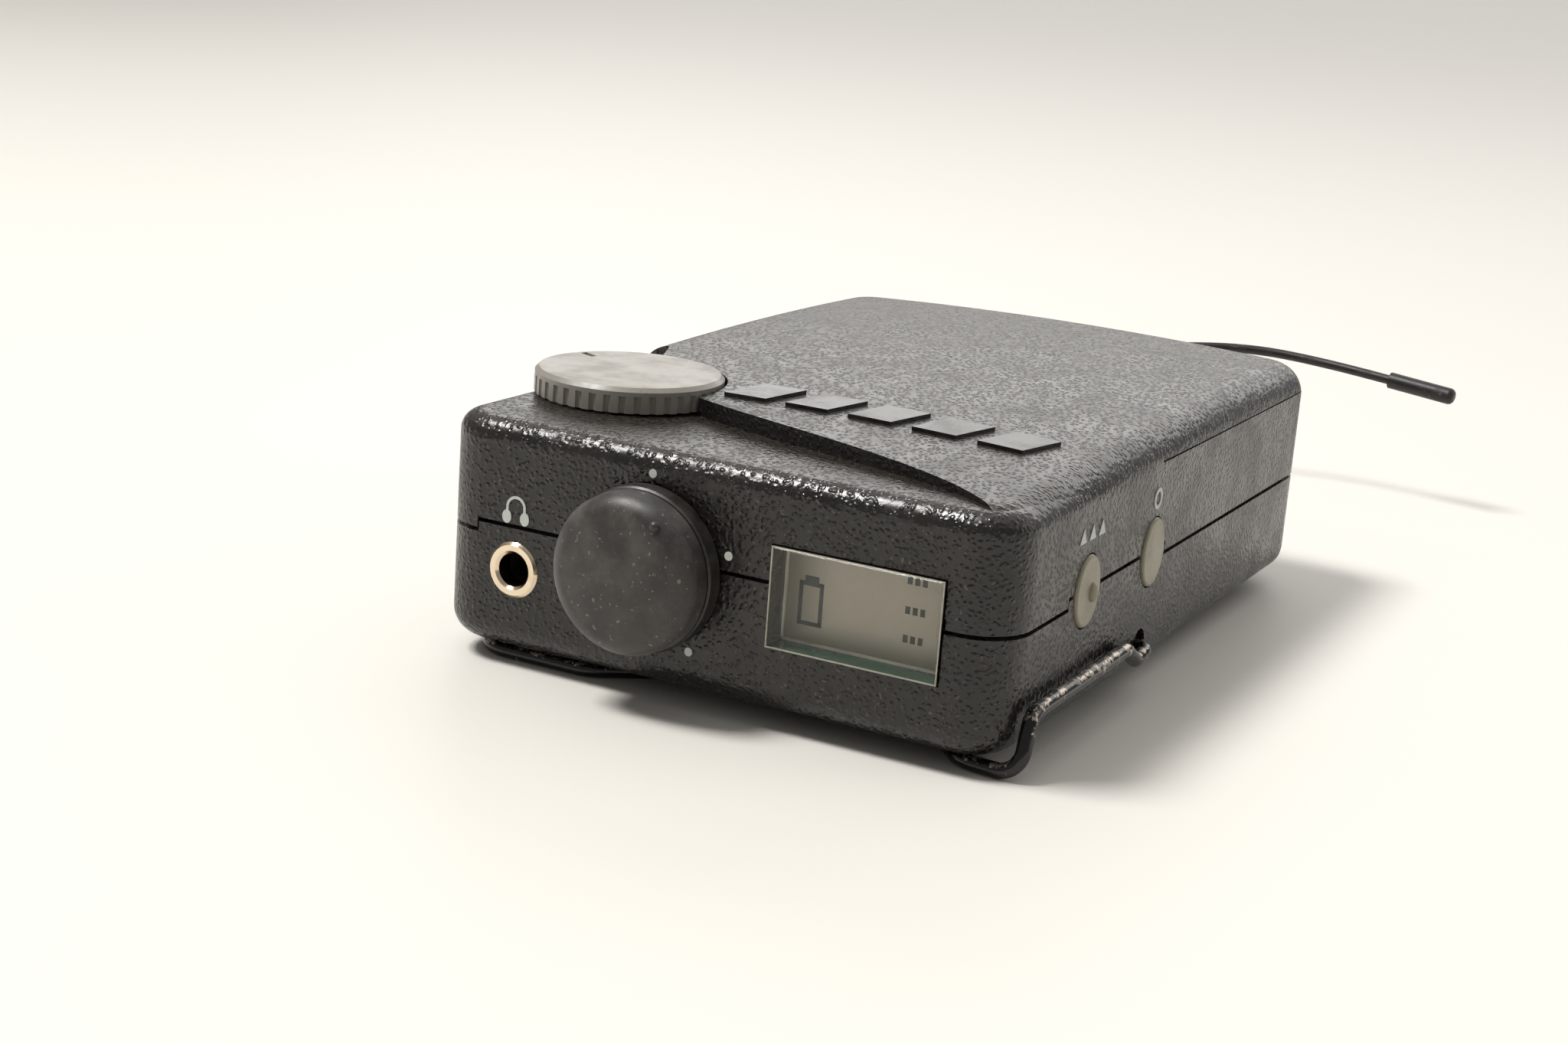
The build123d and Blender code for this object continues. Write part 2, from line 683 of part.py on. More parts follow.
with BuildPart() as switch_bodies:
    for button_depth in button_depths:
        add(block(switch_face - switch_height, front + button_depth - 3, button_z - 3, switch_height, 6, 6))
        with BuildSketch(facing_side(front + button_depth, button_z, side - switch_face)):
            Circle(1.05)
        extrude(amount=-1.4, mode=Mode.SUBTRACT)
switch_bodies.part.label = "switch_bodies"
export_step(switch_bodies.part, "parts/switch_bodies.step")

with BuildPart() as side_board:
    add(
        block(
            switch_face - switch_height - board_thickness,
            front + button_depths[0] - 5,
            board_top,
            board_thickness,
            button_depths[1] - button_depths[0] + 9,
            ceiling - board_top - 3,
        )
    )
side_board.part.label = "side_board"
export_step(side_board.part, "parts/side_board.step")

# Main board with its chips, capacitors and screws
with BuildPart() as main_board:
    board_bottom = base + board_height
    add(block(-board_width / 2, front + 5, board_bottom, board_width, case_length - 10, board_thickness))
main_board.part.label = "main_board"
export_step(main_board.part, "parts/main_board.step")

with BuildPart() as board_chips:
    chip_places = ((-12, 20, 9, 9), (2, 22, 12, 10), (-12, 33, 6, 8), (17, 20, 4, 6), (2, 36, 8, 5))
    for x, y, width, length in chip_places:
        add(block(x, front + y, board_top, width, length, 1.1))
board_chips.part.label = "board_chips"
export_step(board_chips.part, "parts/board_chips.step")

with BuildPart() as board_capacitors:
    with BuildSketch(level(board_top, 0, front)):
        with Locations((-18, 22), (-18, 28), (18, 31), (18, 37), (-20, 40)):
            Circle(2.0)
    extrude(amount=5.4)
board_capacitors.part.label = "board_capacitors"
export_step(board_capacitors.part, "parts/board_capacitors.step")

# Radio board at the rear with its shield can and stand-off posts
radio_z = base + 9.0
with BuildPart() as radio_board:
    add(block(-22, rear - 19, radio_z, 44, 14.5, 1.0))
radio_board.part.label = "radio_board"
export_step(radio_board.part, "parts/radio_board.step")

with BuildPart() as radio_posts:
    with BuildSketch(level(board_top, 0, rear - 11.75)):
        with GridLocations(40, 10, 2, 2):
            Circle(1.2)
    extrude(amount=radio_z - board_top)
radio_posts.part.label = "radio_posts"
export_step(radio_posts.part, "parts/radio_posts.step")

with BuildPart() as radio_shield:
    add(block(-11, rear - 18, radio_z + 1, 30, 12.5, 3.2))
    add(block(-10.7, rear - 17.7, radio_z + 1, 29.4, 11.9, 2.9), mode=Mode.SUBTRACT)
radio_shield.part.label = "radio_shield"
export_step(radio_shield.part, "parts/radio_shield.step")

# Battery and its tray
battery_y = front + battery_depth
battery_left = -(battery_long + terminal_rise) / 2 - 0.9
tray_floor = 1.2
battery_bottom = board_top + tray_floor + 0.1
with BuildPart() as battery:
    battery_front = battery_y - battery_wide / 2
    add(block(battery_left, battery_front, battery_bottom, battery_long, battery_wide, battery_thick))
    fillet(battery.edges().filter_by(Axis.X), 1.6)
battery.part.label = "battery"
export_step(battery.part, "parts/battery.step")

terminal_x = battery_left + battery_long
with BuildPart() as battery_terminals:
    for spread, radius in ((-6.35, 2.9), (6.35, 4.2)):
        origin = (terminal_x, battery_y + spread, battery_bottom + battery_thick / 2)
        with BuildSketch(Plane(origin=origin, x_dir=(0, 1, 0), z_dir=(1, 0, 0))):
            Circle(radius)
        extrude(amount=terminal_rise)
battery_terminals.part.label = "battery_terminals"
export_step(battery_terminals.part, "parts/battery_terminals.step")

contact_x = terminal_x + terminal_rise
with BuildPart() as battery_contacts:
    for spread in (-6.35, 6.35):
        add(block(contact_x, battery_y + spread - 3.5, battery_bottom + 3, 0.5, 7, 11.5))
battery_contacts.part.label = "battery_contacts"
export_step(battery_contacts.part, "parts/battery_contacts.step")

tray_long = contact_x + 0.5 + board_thickness - battery_left + battery_gap
tray_wide = battery_wide + 2 * battery_gap
with BuildPart() as contact_board:
    add(
        block(
            contact_x + 0.5, battery_y - tray_wide / 2, board_top + tray_floor, board_thickness, tray_wide, 15.8
        )
    )
contact_board.part.label = "contact_board"
export_step(contact_board.part, "parts/contact_board.step")

tray_wall = 1.0
with BuildPart() as battery_tray:
    add(
        block(
            battery_left - battery_gap - tray_wall,
            battery_y - tray_wide / 2 - tray_wall,
            board_top,
            tray_long + 2 * tray_wall,
            tray_wide + 2 * tray_wall,
            15.6,
        )
    )
    add(
        block(
            battery_left - battery_gap, battery_y - tray_wide / 2, board_top + tray_floor, tray_long, tray_wide, 20
        ),
        mode=Mode.SUBTRACT,
    )
battery_tray.part.label = "battery_tray"
export_step(battery_tray.part, "parts/battery_tray.step")

# Antenna: a rubber gland in the rear wall, a flexible whip and its end sleeve
with BuildPart() as antenna_gland:
    with BuildSketch(Plane(origin=(gland_x, rear, seam), x_dir=(1, 0, 0), z_dir=(0, 0, 1))):
        with BuildLine():
            Polyline(
                (0, -wall - 1.2),
                (3.4, -wall - 1.2),
                (3.4, -wall),
                (gland_neck_radius, -wall),
                (gland_neck_radius, 0),
                (3.1, 0),
                (3.1, 1.2),
                (2.4, 1.6),
                (1.1, gland_projection),
                (0, gland_projection),
                close=True,
            )
        make_face()
    revolve(axis=Axis((gland_x, rear, seam), (0, 1, 0)))
antenna_gland.part.label = "antenna_gland"
export_step(antenna_gland.part, "parts/antenna_gland.step")

antenna_start = (gland_x, rear + gland_projection, seam)
antenna_route = [Vector(*point) for point in (antenna_start,) + antenna_points]
antenna_radii = []
for before, corner, after in zip(antenna_route, antenna_route[1:], antenna_route[2:]):
    turn = (corner - before).get_angle(after - corner)
    shorter = min((corner - before).length, (after - corner).length)
    antenna_radii.append(0.45 * shorter / tan(radians(turn / 2)))
print("antenna bend radii", [round(radius, 1) for radius in antenna_radii])
with BuildPart() as antenna_whip:
    with BuildLine() as whip_path:
        FilletPolyline(*antenna_route, radius=antenna_radii)
    with BuildSketch(Plane(origin=antenna_start, z_dir=antenna_route[1] - antenna_route[0])):
        Circle(antenna_diameter / 2)
    sweep()
whip_length = sum(edge.length for edge in whip_path.edges())
whip_volume = whip_length * pi * antenna_diameter**2 / 4
print("antenna length", round(whip_length, 2))
print("antenna volume", round(antenna_whip.part.volume, 2), "from its section", round(whip_volume, 2))
antenna_whip.part.label = "antenna_whip"
export_step(antenna_whip.part, "parts/antenna_whip.step")

with BuildPart() as antenna_tip:
    with BuildSketch(Plane(origin=antenna_route[-1], z_dir=antenna_route[-1] - antenna_route[-2])):
        Circle(antenna_tip_diameter / 2)
    extrude(amount=antenna_tip_length)
    fillet(antenna_tip.faces().sort_by(Axis.X)[-1].edges(), 0.8)
antenna_tip.part.label = "antenna_tip"
export_step(antenna_tip.part, "parts/antenna_tip.step")

# Printed marks: dots around the knob, a phone sign, and two signs above the buttons
print_thickness = 0.08
dot_circle = 9.6
with BuildPart() as level_dots:
    with BuildSketch(facing_front(knob_x, knob_z)):
        with PolarLocations(dot_circle, 5, start_angle=-56, angular_range=292, endpoint=True):
            Circle(0.45)
    extrude(amount=print_thickness)
level_dots.part.label = "level_dots"
export_step(level_dots.part, "parts/level_dots.step")

with BuildPart() as phone_sign:
    with BuildSketch(facing_front(jack_x, seam + 3.4)):
        Circle(1.2)
        Circle(0.92, mode=Mode.SUBTRACT)
        with Locations((0, -1.0)):
            Rectangle(4, 2, mode=Mode.SUBTRACT)
        with Locations((-1.06, -0.35), (1.06, -0.35)):
            Rectangle(0.28, 0.8)
        with Locations((-1.1, -1.1), (1.1, -1.1)):
            Ellipse(0.55, 0.72)
    extrude(amount=print_thickness)
phone_sign.part.label = "phone_sign"
export_step(phone_sign.part, "parts/phone_sign.step")

with BuildPart() as button_signs:
    for button_name, button_depth in zip(button_names, button_depths):
        with BuildSketch(facing_side(front + button_depth, seam + 7.1)):
            if button_name == "scroll":
                with Locations((-2.6, 0), (0, 0), (2.6, 0)):
                    Triangle(c=1.8, B=60, C=60)
            else:
                Circle(1.2)
                Circle(0.75, mode=Mode.SUBTRACT)
        extrude(amount=print_thickness)
button_signs.part.label = "button_signs"
export_step(button_signs.part, "parts/button_signs.step")

# Badge: a row of plain slanted bars that follow the crown
badge_rise = 0.4
with BuildPart() as badge:
    with BuildSketch(level(deck, 8.0, front + 23.0)):
        with GridLocations(7.4, 1, 5, 1):
            Polygon((-3.4, -3.0), (1.6, -3.0), (3.4, 3.0), (-1.6, 3.0))
    extrude(amount=6)
    add(crown_barrel(badge_rise), mode=Mode.INTERSECT)
    add(crown_barrel(), mode=Mode.SUBTRACT)
badge.part.label = "badge"
export_step(badge.part, "parts/badge.step")
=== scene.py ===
# Finishes, small detail, light and camera for a bodypack receiver, around its CAD frame.
from math import cos, pi, radians, sin

import bmesh
import bpy
from mathutils import Matrix, Vector


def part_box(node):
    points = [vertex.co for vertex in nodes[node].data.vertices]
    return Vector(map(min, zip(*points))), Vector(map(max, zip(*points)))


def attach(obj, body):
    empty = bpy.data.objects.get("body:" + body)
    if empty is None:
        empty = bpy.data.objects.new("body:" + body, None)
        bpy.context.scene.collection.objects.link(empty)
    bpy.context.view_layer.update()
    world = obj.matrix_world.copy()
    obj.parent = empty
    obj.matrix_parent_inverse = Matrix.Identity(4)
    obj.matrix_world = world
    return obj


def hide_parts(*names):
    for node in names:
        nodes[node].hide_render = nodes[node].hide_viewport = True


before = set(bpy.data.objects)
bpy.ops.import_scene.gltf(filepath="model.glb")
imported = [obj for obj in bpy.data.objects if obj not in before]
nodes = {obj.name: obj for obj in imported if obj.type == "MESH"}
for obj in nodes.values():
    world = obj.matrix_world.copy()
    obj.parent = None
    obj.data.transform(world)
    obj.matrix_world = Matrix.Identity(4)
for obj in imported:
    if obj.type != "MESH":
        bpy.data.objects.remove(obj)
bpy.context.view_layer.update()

mm = 0.001
scene = bpy.context.scene
print("frame loaded", len(nodes), "nodes")


# Camera, a little turned about its own axis
cameraSpec = {  # lens in millimetres, on a film gate of the usual width
    "place": Vector((110.5955, -250.2330, 81.0962)) * mm,
    "aim": Vector((8.2588, -48.5, 21.8026)) * mm,
    "lens": 55.20,
    "roll": radians(4.3287),
}


def makeCamera(spec):
    data = bpy.data.cameras.new("camera")
    camera = bpy.data.objects.new("camera", data)
    scene.collection.objects.link(camera)
    data.sensor_width = 36.0
    data.lens = spec["lens"]
    data.clip_start = 0.01
    data.clip_end = 50.0
    ahead = (spec["aim"] - spec["place"]).normalized()
    right = ahead.cross(Vector((0, 0, 1))).normalized()
    up = right.cross(ahead)
    turnedRight = cos(spec["roll"]) * right + sin(spec["roll"]) * up
    turnedUp = -sin(spec["roll"]) * right + cos(spec["roll"]) * up
    turn = Matrix((turnedRight, turnedUp, -ahead)).transposed().to_4x4()
    camera.matrix_world = Matrix.Translation(spec["place"]) @ turn
    scene.camera = camera


makeCamera(cameraSpec)


def linear(text, alpha=1.0):  # sRGB hex to linear
    parts = [int(text[i:i + 2], 16) / 255 for i in (0, 2, 4)]
    return [c / 12.92 if c <= 0.04045 else ((c + 0.055) / 1.055) ** 2.4 for c in parts] + [alpha]


def addNode(material, kind, inputs=None, **settings):  # an input is a value or another node's output
    node = material.node_tree.nodes.new(kind)
    for name, value in settings.items():
        setattr(node, name, value)
    for key, value in (inputs or {}).items():
        if isinstance(value, bpy.types.NodeSocket):
            material.node_tree.links.new(value, node.inputs[key])
        else:
            node.inputs[key].default_value = value
    return node


def startMaterial(name):
    material = bpy.data.materials.new(name)
    material.use_nodes = True
    material.node_tree.nodes.clear()
    place = addNode(material, "ShaderNodeTexCoord").outputs["Object"]
    return material, place


def endMaterial(material, **inputs):
    sockets = {key.replace("_", " "): value for key, value in inputs.items()}
    shader = addNode(material, "ShaderNodeBsdfPrincipled", sockets)
    addNode(material, "ShaderNodeOutputMaterial", {"Surface": shader.outputs["BSDF"]})
    return material


def blendColours(material, factor, first, second):
    mix = addNode(material, "ShaderNodeMix", {0: factor, 6: first, 7: second}, data_type="RGBA")
    return mix.outputs[2]


def ramp(material, value, low, high, lowOut=0.0, highOut=1.0):  # eases from lowOut to highOut
    node = addNode(
        material, "ShaderNodeMapRange",
        {"Value": value, "From Min": low, "From Max": high, "To Min": lowOut, "To Max": highOut},
        interpolation_type="SMOOTHSTEP",
    )
    return node.outputs["Result"]


def noise(material, place, size, detail=2.0, rough=0.5):  # size in millimetres
    node = addNode(
        material, "ShaderNodeTexNoise",
        {"Vector": place, "Scale": 1 / (size * mm), "Detail": detail, "Roughness": rough},
    )
    return node.outputs["Fac"]


def facing(material, axis):  # how far the surface looks along one axis
    normal = addNode(material, "ShaderNodeNewGeometry").outputs["Normal"]
    return addNode(material, "ShaderNodeSeparateXYZ", {0: normal}).outputs[axis]


def times(material, first, second, operation="MULTIPLY"):
    return addNode(material, "ShaderNodeMath", {0: first, 1: second}, operation=operation).outputs[0]


# Moulded ABS with a leather grain: dark, a soft sheen that breaks up in the grain, dust in its hollows
caseLook = {  # grain, warp and depth in millimetres
    "dark": "0f0d0b", "light": "1a1714", "dust": "877d71", "rough": 0.26,
    "grain": 0.55, "depth": 0.085, "warpSize": 1.3, "warp": 0.7,
}


def mouldedAbs(name, look):
    material, place = startMaterial(name)
    warp = addNode(
        material, "ShaderNodeTexNoise", {"Vector": place, "Scale": 1 / (look["warpSize"] * mm), "Detail": 2.0},
    )
    bent = addNode(
        material, "ShaderNodeVectorMath", {0: warp.outputs["Color"], 1: (0.5, 0.5, 0.5)}, operation="SUBTRACT",
    )
    shift = addNode(
        material, "ShaderNodeVectorMath", {0: bent.outputs[0], "Scale": look["warp"] * mm}, operation="SCALE",
    )
    moved = addNode(material, "ShaderNodeVectorMath", {0: place, 1: shift.outputs[0]}, operation="ADD")
    cells = addNode(
        material, "ShaderNodeTexVoronoi",
        {"Vector": moved.outputs[0], "Scale": 1 / (look["grain"] * mm), "Smoothness": 0.6},
        feature="SMOOTH_F1",
    )
    pebble = ramp(material, cells.outputs["Distance"], 0.05, 0.62, 1.0, 0.0)
    fine = noise(material, place, 0.22, 3.0, 0.6)
    height = times(material, pebble, times(material, fine, 0.25), "ADD")
    bump = addNode(
        material, "ShaderNodeBump", {"Height": height, "Strength": 0.9, "Distance": look["depth"] * mm},
    )
    patch = ramp(material, noise(material, place, 14.0, 3.0), 0.35, 0.7)
    colour = blendColours(material, patch, linear(look["dark"]), linear(look["light"]))
    hollow = ramp(material, pebble, 0.45, 0.1)
    up = ramp(material, facing(material, 2), 0.3, 0.95, 0.015, 0.09)
    settled = times(material, hollow, up)
    colour = blendColours(material, settled, colour, linear(look["dust"]))
    speck = ramp(material, noise(material, place, 0.35, 0.0), 0.74, 0.80)
    colour = blendColours(material, times(material, speck, 0.22), colour, linear(look["dust"]))
    rubbed = noise(material, place, 5.0, 3.0)
    rough = ramp(material, rubbed, 0.3, 0.7, look["rough"] - 0.06, look["rough"] + 0.08)
    return endMaterial(material, Base_Color=colour, Roughness=rough, IOR=1.53, Normal=bump.outputs[0])


# Plain moulded ABS, satin, with a faint flow and dust
def plainMoulding(name, colourText, dustText, rough=0.42, grain=0.3, dusty=0.25):
    material, place = startMaterial(name)
    cloud = ramp(material, noise(material, place, 4.0, 4.0, 0.6), 0.3, 0.75)
    colour = blendColours(material, times(material, cloud, dusty), linear(colourText), linear(dustText))
    speck = ramp(material, noise(material, place, 0.4, 1.0), 0.68, 0.76)
    colour = blendColours(material, times(material, speck, dusty), colour, linear(dustText))
    height = noise(material, place, grain, 3.0, 0.6)
    bump = addNode(material, "ShaderNodeBump", {"Height": height, "Strength": 0.35, "Distance": 0.03 * mm})
    roughness = ramp(material, cloud, 0.0, 1.0, rough - 0.05, rough + 0.1)
    return endMaterial(
        material, Base_Color=colour, Roughness=roughness, IOR=1.5, Normal=bump.outputs[0],
    )


# Soft-touch rubber: matte, greyed by dust and handled smoother in patches
def softRubber(name, colourText, dustText, dusty=0.55):
    material, place = startMaterial(name)
    cloud = ramp(material, noise(material, place, 3.2, 5.0, 0.65), 0.35, 0.75)
    colour = blendColours(material, times(material, cloud, dusty), linear(colourText), linear(dustText))
    speck = ramp(material, noise(material, place, 0.5, 1.5, 0.6), 0.66, 0.74)
    colour = blendColours(material, times(material, speck, dusty), colour, linear("8d877f"))
    height = noise(material, place, 0.25, 4.0, 0.7)
    bump = addNode(material, "ShaderNodeBump", {"Height": height, "Strength": 0.3, "Distance": 0.03 * mm})
    rough = ramp(material, cloud, 0.0, 1.0, 0.42, 0.62)
    return endMaterial(
        material, Base_Color=colour, Roughness=rough, IOR=1.5, Normal=bump.outputs[0],
        Sheen_Weight=0.15, Sheen_Roughness=0.4,
    )


# Gloss black paint on steel wire, rubbed to bright metal in scrapes along its outside and top
def wornPaint(name):
    material, place = startMaterial(name)
    scrape = noise(material, place, 1.5, 5.0, 0.7)
    outward = ramp(material, facing(material, 2), 0.2, 0.9, 0.0, 0.15)
    side = ramp(material, facing(material, 0), 0.3, 0.9, 0.0, 0.07)
    reach = times(material, scrape, times(material, outward, side, "ADD"), "ADD")
    worn = ramp(material, reach, 0.66, 0.69)
    colour = blendColours(material, worn, linear("0c0b0a"), linear("b8aea2"))
    rough = ramp(material, worn, 0.0, 1.0, 0.16, 0.34)
    bump = addNode(
        material, "ShaderNodeBump",
        {"Height": times(material, worn, -1.0), "Strength": 0.5, "Distance": 0.03 * mm},
    )
    return endMaterial(material, Base_Color=colour, Metallic=worn, Roughness=rough, Normal=bump.outputs[0])


# Bare or plated metal: bright, with fine rubbing that blurs the reflections unevenly
def metal(name, colourText, rough, stain="6b5f50", scratch=0.6):
    material, place = startMaterial(name)
    cloud = ramp(material, noise(material, place, 2.5, 4.0, 0.6), 0.45, 0.8)
    colour = blendColours(material, times(material, cloud, 0.35), linear(colourText), linear(stain))
    roughness = ramp(material, noise(material, place, scratch, 4.0, 0.7), 0.3, 0.7, rough * 0.7, rough * 1.4)
    bump = addNode(
        material, "ShaderNodeBump",
        {"Height": noise(material, place, scratch / 2, 3.0), "Strength": 0.15, "Distance": 0.01 * mm},
    )
    return endMaterial(material, Base_Color=colour, Metallic=1.0, Roughness=roughness, Normal=bump.outputs[0])


# Glass-fibre board under green solder mask: the weave shows through, copper tracks run under the mask
def solderMask(name):
    material, place = startMaterial(name)
    bricks = addNode(
        material, "ShaderNodeTexBrick",
        {"Vector": place, "Scale": 1 / (3.0 * mm), "Mortar Size": 0.06, "Brick Width": 0.9, "Row Height": 0.42,
         "Color1": linear("1c4a2c"), "Color2": linear("184026"), "Mortar": linear("2f6b3d")},
    )
    cloud = noise(material, place, 0.5, 2.0)
    colour = blendColours(material, times(material, cloud, 0.3), bricks.outputs["Color"], linear("0e2417"))
    bump = addNode(
        material, "ShaderNodeBump",
        {"Height": bricks.outputs["Fac"], "Strength": 0.4, "Distance": 0.04 * mm},
    )
    return endMaterial(material, Base_Color=colour, Roughness=0.28, IOR=1.5, Normal=bump.outputs[0])


# Liquid crystal behind its polariser: warm grey, with a painted shadow of the window's recess darkening it
# towards its left and lower edges
paintedRecessShadow = {  # where the painted shadow fades out, in millimetres from the panel's left and lower edges
    "acrossStart": 0.5, "acrossEnd": 7.5, "upStart": 0.8, "upEnd": 4.2, "deepest": 0.8,
}


def crystalGrey(name, shading):
    material, place = startMaterial(name)
    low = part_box("display_panel")[0]
    split = addNode(material, "ShaderNodeSeparateXYZ", {0: place})
    across = ramp(
        material, split.outputs[0], low.x + shading["acrossStart"] * mm, low.x + shading["acrossEnd"] * mm,
        shading["deepest"], 0.0,
    )
    upward = ramp(
        material, split.outputs[2], low.z + shading["upStart"] * mm, low.z + shading["upEnd"] * mm,
        shading["deepest"], 0.0,
    )
    # painted shadow: the panel is darkened towards its left and lower edges, where the recess shades it
    paintedShadow = times(material, across, upward, "MAXIMUM")
    colour = blendColours(material, paintedShadow, linear("e9dfcb"), linear("857b6b"))
    cloud = times(material, noise(material, place, 1.8, 3.0), 0.15)
    colour = blendColours(material, cloud, colour, linear("8b8273"))
    return endMaterial(material, Base_Color=colour, Roughness=0.32, IOR=1.5)


# Clear acrylic, polished, with dust and fine scratches that catch the light
def clearAcrylic(name):
    material, place = startMaterial(name)
    scratch = ramp(material, noise(material, place, 0.6, 5.0, 0.75), 0.55, 0.8)
    rough = ramp(material, scratch, 0.0, 1.0, 0.05, 0.3)
    colour = blendColours(material, times(material, scratch, 0.5), linear("cfd4ca"), linear("e2dfd8"))
    alpha = ramp(material, scratch, 0.0, 1.0, 0.07, 0.18)
    return endMaterial(
        material, Base_Color=colour, Roughness=rough, IOR=1.49, Specular_IOR_Level=1.0, Alpha=alpha,
    )


# Steel can of a nine volt block: a dark label with one bright band near its terminals
bandSpec = {"width": 11, "blur": 0.2}  # millimetres


def batterySkin(name, bandLook):
    material, place = startMaterial(name)
    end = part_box("battery")[1].x
    split = addNode(material, "ShaderNodeSeparateXYZ", {0: place})
    bandStart = end - bandLook["width"] * mm
    band = ramp(material, split.outputs[0], bandStart, bandStart + bandLook["blur"] * mm)
    colour = blendColours(material, band, linear("1b1d22"), linear("b0672b"))
    rubbed = ramp(material, noise(material, place, 1.2, 5.0, 0.7), 0.66, 0.72)
    colour = blendColours(material, times(material, rubbed, 0.6), colour, linear("a9a7a3"))
    bump = addNode(
        material, "ShaderNodeBump",
        {"Height": noise(material, place, 3.0, 3.0), "Strength": 0.2, "Distance": 0.05 * mm},
    )
    return endMaterial(material, Base_Color=colour, Metallic=0.35, Roughness=0.3, Normal=bump.outputs[0])


# Screen-printed paint: chalky, broken where the grain of the case comes through
def printedPaint(name):
    material, place = startMaterial(name)
    broken = ramp(material, noise(material, place, 0.3, 3.0, 0.6), 0.60, 0.72)
    colour = blendColours(material, times(material, broken, 0.6), linear("c3c8c2"), linear("4b4a45"))
    return endMaterial(material, Base_Color=colour, Roughness=0.6)


caseAbs = mouldedAbs("leatherGrainAbs", caseLook)
blackAbs = plainMoulding("satinBlackAbs", "161412", "5d574f")
badgeAbs = plainMoulding("glossBlackAbs", "0d0c0b", "4b463f", rough=0.2, dusty=0.2)
dialAbs = plainMoulding("greyAbs", "8f8b84", "6a655c", rough=0.36, grain=0.35, dusty=0.4)
buttonAbs = plainMoulding("beigeAbs", "8e8874", "6e6754", rough=0.34, dusty=0.3)
chipEpoxy = plainMoulding("blackEpoxy", "17171a", "4c4c50", rough=0.5)
knobRubber = softRubber("dustyRubber", "2b2927", "5a5651")
antennaRubber = softRubber("antennaRubber", "131211", "35312d", dusty=0.35)
clipPaint = wornPaint("wornGlossPaint")
steel = metal("groundSteel", "b9b6b0", 0.28)
screwSteel = metal("blackenedSteel", "4a4744", 0.32, stain="2a2622")
nickel = metal("nickelPlate", "ead9bf", 0.15, stain="a38a63")
brass = metal("brass", "d8b46a", 0.24, stain="8a6a35")
canAluminium = metal("bareAluminium", "cfd0d2", 0.24, stain="8e8f92")
tinPlate = metal("tinPlate", "c6c5c0", 0.3, stain="8b8a84")
boardMask = solderMask("greenSolderMask")
printWhite = printedPaint("whitePrint")
crystal = crystalGrey("liquidCrystal", paintedRecessShadow)
acrylic = clearAcrylic("clearAcrylic")
guide = plainMoulding("frostedGuide", "cfcfc6", "a5a59a", rough=0.5, dusty=0.2)
amberFilm = plainMoulding("amberFilm", "8a4d16", "5e330d", rough=0.25, dusty=0.2)
batteryCan = batterySkin("labelledSteelCan", bandSpec)
print("materials made")

finishes = {
    caseAbs: ["bottom_shell", "top_shell", "battery_door"],
    blackAbs: ["jack_body", "knob_skirt", "scroll_plunger", "select_plunger", "switch_bodies", "battery_tray"],
    badgeAbs: ["badge"],
    dialAbs: ["mix_dial"],
    buttonAbs: ["scroll_button", "select_button"],
    chipEpoxy: ["board_chips"],
    knobRubber: ["volume_knob"],
    antennaRubber: ["antenna_gland", "antenna_tip", "antenna_whip"],
    clipPaint: ["belt_clip"],
    steel: ["hinge_pin", "volume_shaft", "mix_shaft"],
    screwSteel: ["case_screws"],
    nickel: ["jack_bush", "pot_nut", "battery_terminals", "battery_contacts"],
    brass: ["jack_contacts", "radio_posts"],
    canAluminium: ["board_capacitors"],
    tinPlate: ["radio_shield", "volume_pot", "mix_pot"],
    boardMask: ["display_board", "mix_board", "side_board", "main_board", "radio_board", "contact_board"],
    printWhite: ["level_dots", "phone_sign", "button_signs"],
    crystal: ["display_panel"],
    acrylic: ["display_lens"],
    guide: ["display_light"],
    amberFilm: ["display_cable"],
    batteryCan: ["battery"],
}
for material, names in finishes.items():
    for name in names:
        slots = nodes[name].data.materials
        for index in range(max(1, len(slots))):
            if index < len(slots):
                slots[index] = material
            else:
                slots.append(material)


# Antenna: one flexible lead on a smooth curve from its gland to its end sleeve
antennaSpec = {
    "thickness": 1.4 * mm,
    "length": 81.69 * mm,
    "points": [
        (-19.0, 55.5, 14.15), (-19.0, 68.8, 14.15), (-15.2, 83.0, 15.9), (-5.5, 96.6, 18.2),
        (7.0, 103.2, 19.2), (19.4, 104.4, 18.6), (30.0, 103.0, 17.7),
    ],
}


def makeAntenna(spec):
    data = bpy.data.curves.new("antennaLead", "CURVE")
    data.dimensions = "3D"
    spline = data.splines.new("NURBS")
    spline.points.add(len(spec["points"]) - 1)
    for point, place in zip(spline.points, spec["points"]):
        point.co = [*(Vector(place) * mm), 1]
    spline.order_u = 3
    spline.use_endpoint_u = True
    spline.resolution_u = 24
    data.bevel_depth = spec["thickness"] / 2
    data.bevel_resolution = 6
    data.use_fill_caps = True
    lead = bpy.data.objects.new("antennaLead", data)
    scene.collection.objects.link(lead)
    data.materials.append(antennaRubber)
    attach(lead, "case")
    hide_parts("antenna_whip")


makeAntenna(antennaSpec)
print("antenna made")


def addBlock(bm, low, high):  # corners in millimetres
    low, high = Vector(low) * mm, Vector(high) * mm
    made = bmesh.ops.create_cube(bm, size=1.0)
    bmesh.ops.scale(bm, vec=high - low, verts=made["verts"])
    bmesh.ops.translate(bm, vec=(low + high) / 2, verts=made["verts"])


def finishPiece(name, bm, material, body, smooth=True):
    bmesh.ops.recalc_face_normals(bm, faces=bm.faces)
    mesh = bpy.data.meshes.new(name)
    bm.to_mesh(mesh)
    bm.free()
    for face in mesh.polygons:
        face.use_smooth = smooth
    mesh.materials.append(material)
    piece = bpy.data.objects.new(name, mesh)
    scene.collection.objects.link(piece)
    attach(piece, body)
    return piece
